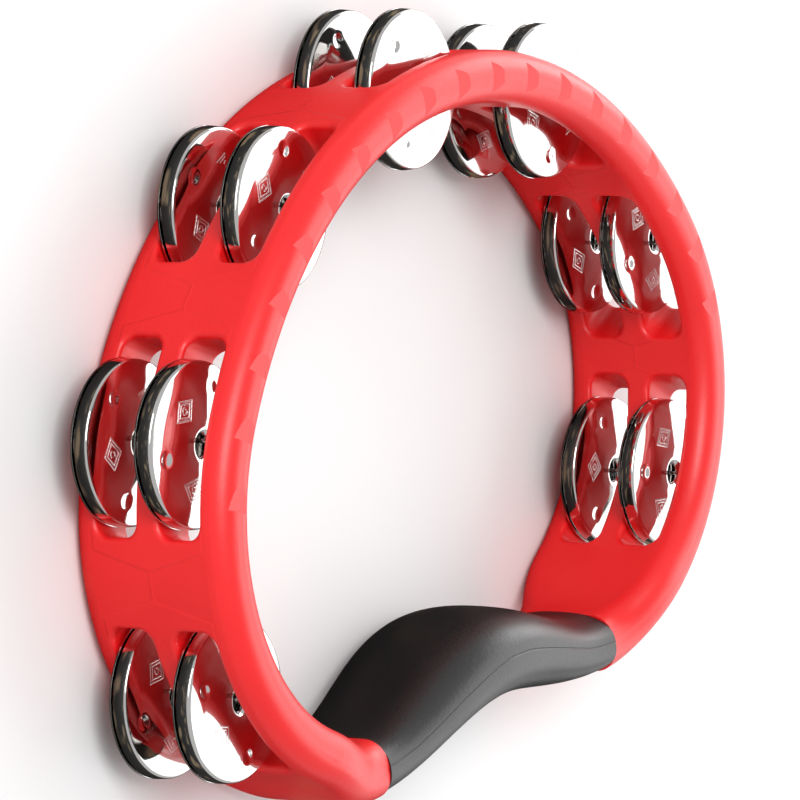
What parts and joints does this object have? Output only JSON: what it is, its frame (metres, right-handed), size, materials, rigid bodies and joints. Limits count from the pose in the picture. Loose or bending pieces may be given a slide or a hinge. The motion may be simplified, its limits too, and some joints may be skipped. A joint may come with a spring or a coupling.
{
  "type": "hand tambourine",
  "caption": "Hand tambourine: a crescent-shaped moulded ring with two rows of steel jingles on pins and an inward-curved rubber grip.",
  "frame": {"origin": "middle of the part's outline, on the plane that the plain rim lies on", "axes": "+Z along the ring's axis towards the notched rim; +Y across the ring, away from the grip; +X across the ring, to the right when the notched rim is seen with the grip lowest"},
  "size_m": [0.2554, 0.1862, 0.044],
  "materials": {
    "frame_plastic": "fine moulded satin, glossy on the rounded rims",
    "grip_rubber": "fine grained matt",
    "jingle_steel": "nickel plated, mirror bright",
    "pin_steel": "bright drawn wire"
  },
  "bodies": {
    "frame": {"ring_frame": "frame_plastic", "grip_sleeve": "grip_rubber", "jingle_pin_1": "pin_steel", "jingle_pin_2": "pin_steel", "jingle_pin_3": "pin_steel", "jingle_pin_4": "pin_steel", "jingle_pin_5": "pin_steel", "jingle_pin_6": "pin_steel", "jingle_pin_7": "pin_steel"},
    "plate_rear_1": {"plate_jingle_rear_1": "jingle_steel"},
    "cup_rear_1": {"cup_jingle_rear_1": "jingle_steel"},
    "plate_front_1": {"plate_jingle_front_1": "jingle_steel"},
    "cup_front_1": {"cup_jingle_front_1": "jingle_steel"},
    "plate_rear_2": {"plate_jingle_rear_2": "jingle_steel"},
    "cup_rear_2": {"cup_jingle_rear_2": "jingle_steel"},
    "plate_front_2": {"plate_jingle_front_2": "jingle_steel"},
    "cup_front_2": {"cup_jingle_front_2": "jingle_steel"},
    "plate_rear_3": {"plate_jingle_rear_3": "jingle_steel"},
    "cup_rear_3": {"cup_jingle_rear_3": "jingle_steel"},
    "plate_front_3": {"plate_jingle_front_3": "jingle_steel"},
    "cup_front_3": {"cup_jingle_front_3": "jingle_steel"},
    "plate_rear_4": {"plate_jingle_rear_4": "jingle_steel"},
    "cup_rear_4": {"cup_jingle_rear_4": "jingle_steel"},
    "plate_front_4": {"plate_jingle_front_4": "jingle_steel"},
    "cup_front_4": {"cup_jingle_front_4": "jingle_steel"},
    "plate_rear_5": {"plate_jingle_rear_5": "jingle_steel"},
    "cup_rear_5": {"cup_jingle_rear_5": "jingle_steel"},
    "plate_front_5": {"plate_jingle_front_5": "jingle_steel"},
    "cup_front_5": {"cup_jingle_front_5": "jingle_steel"},
    "plate_rear_6": {"plate_jingle_rear_6": "jingle_steel"},
    "cup_rear_6": {"cup_jingle_rear_6": "jingle_steel"},
    "plate_front_6": {"plate_jingle_front_6": "jingle_steel"},
    "cup_front_6": {"cup_jingle_front_6": "jingle_steel"},
    "plate_rear_7": {"plate_jingle_rear_7": "jingle_steel"},
    "cup_rear_7": {"cup_jingle_rear_7": "jingle_steel"},
    "plate_front_7": {"plate_jingle_front_7": "jingle_steel"},
    "cup_front_7": {"cup_jingle_front_7": "jingle_steel"}
  },
  "joints": [
    {"name": "pair_slide_rear_1", "type": "slide", "parent": "frame", "child": "plate_rear_1", "axis": [0, 0, 1], "range_m": [0, 0.00395]},
    {"name": "cup_spin_rear_1", "type": "hinge", "parent": "plate_rear_1", "child": "cup_rear_1", "pos_m": [-0.105, -0.05174, 0], "axis": [0, 0, 1], "continuous": true},
    {"name": "pair_slide_front_1", "type": "slide", "parent": "frame", "child": "plate_front_1", "axis": [0, 0, 1], "range_m": [0, 0.00395]},
    {"name": "cup_spin_front_1", "type": "hinge", "parent": "plate_front_1", "child": "cup_front_1", "pos_m": [-0.105, -0.05174, 0], "axis": [0, 0, 1], "continuous": true},
    {"name": "pair_slide_rear_2", "type": "slide", "parent": "frame", "child": "plate_rear_2", "axis": [0, 0, 1], "range_m": [0, 0.00395]},
    {"name": "cup_spin_rear_2", "type": "hinge", "parent": "plate_rear_2", "child": "cup_rear_2", "pos_m": [-0.10769, 0.01082, 0], "axis": [0, 0, 1], "continuous": true},
    {"name": "pair_slide_front_2", "type": "slide", "parent": "frame", "child": "plate_front_2", "axis": [0, 0, 1], "range_m": [0, 0.00395]},
    {"name": "cup_spin_front_2", "type": "hinge", "parent": "plate_front_2", "child": "cup_front_2", "pos_m": [-0.10769, 0.01082, 0], "axis": [0, 0, 1], "continuous": true},
    {"name": "pair_slide_rear_3", "type": "slide", "parent": "frame", "child": "plate_rear_3", "axis": [0, 0, 1], "range_m": [0, 0.00395]},
    {"name": "cup_spin_rear_3", "type": "hinge", "parent": "plate_rear_3", "child": "cup_rear_3", "pos_m": [-0.06247, 0.05713, 0], "axis": [0, 0, 1], "continuous": true},
    {"name": "pair_slide_front_3", "type": "slide", "parent": "frame", "child": "plate_front_3", "axis": [0, 0, 1], "range_m": [0, 0.00395]},
    {"name": "cup_spin_front_3", "type": "hinge", "parent": "plate_front_3", "child": "cup_front_3", "pos_m": [-0.06247, 0.05713, 0], "axis": [0, 0, 1], "continuous": true},
    {"name": "pair_slide_rear_4", "type": "slide", "parent": "frame", "child": "plate_rear_4", "axis": [0, 0, 1], "range_m": [0, 0.00395]},
    {"name": "cup_spin_rear_4", "type": "hinge", "parent": "plate_rear_4", "child": "cup_rear_4", "pos_m": [0, 0.07411, 0], "axis": [0, 0, 1], "continuous": true},
    {"name": "pair_slide_front_4", "type": "slide", "parent": "frame", "child": "plate_front_4", "axis": [0, 0, 1], "range_m": [0, 0.00395]},
    {"name": "cup_spin_front_4", "type": "hinge", "parent": "plate_front_4", "child": "cup_front_4", "pos_m": [0, 0.07411, 0], "axis": [0, 0, 1], "continuous": true},
    {"name": "pair_slide_rear_5", "type": "slide", "parent": "frame", "child": "plate_rear_5", "axis": [0, 0, 1], "range_m": [0, 0.00395]},
    {"name": "cup_spin_rear_5", "type": "hinge", "parent": "plate_rear_5", "child": "cup_rear_5", "pos_m": [0.06247, 0.05713, 0], "axis": [0, 0, 1], "continuous": true},
    {"name": "pair_slide_front_5", "type": "slide", "parent": "frame", "child": "plate_front_5", "axis": [0, 0, 1], "range_m": [0, 0.00395]},
    {"name": "cup_spin_front_5", "type": "hinge", "parent": "plate_front_5", "child": "cup_front_5", "pos_m": [0.06247, 0.05713, 0], "axis": [0, 0, 1], "continuous": true},
    {"name": "pair_slide_rear_6", "type": "slide", "parent": "frame", "child": "plate_rear_6", "axis": [0, 0, 1], "range_m": [0, 0.00395]},
    {"name": "cup_spin_rear_6", "type": "hinge", "parent": "plate_rear_6", "child": "cup_rear_6", "pos_m": [0.10769, 0.01082, 0], "axis": [0, 0, 1], "continuous": true},
    {"name": "pair_slide_front_6", "type": "slide", "parent": "frame", "child": "plate_front_6", "axis": [0, 0, 1], "range_m": [0, 0.00395]},
    {"name": "cup_spin_front_6", "type": "hinge", "parent": "plate_front_6", "child": "cup_front_6", "pos_m": [0.10769, 0.01082, 0], "axis": [0, 0, 1], "continuous": true},
    {"name": "pair_slide_rear_7", "type": "slide", "parent": "frame", "child": "plate_rear_7", "axis": [0, 0, 1], "range_m": [0, 0.00395]},
    {"name": "cup_spin_rear_7", "type": "hinge", "parent": "plate_rear_7", "child": "cup_rear_7", "pos_m": [0.105, -0.05174, 0], "axis": [0, 0, 1], "continuous": true},
    {"name": "pair_slide_front_7", "type": "slide", "parent": "frame", "child": "plate_front_7", "axis": [0, 0, 1], "range_m": [0, 0.00395]},
    {"name": "cup_spin_front_7", "type": "hinge", "parent": "plate_front_7", "child": "cup_front_7", "pos_m": [0.105, -0.05174, 0], "axis": [0, 0, 1], "continuous": true}
  ]
}
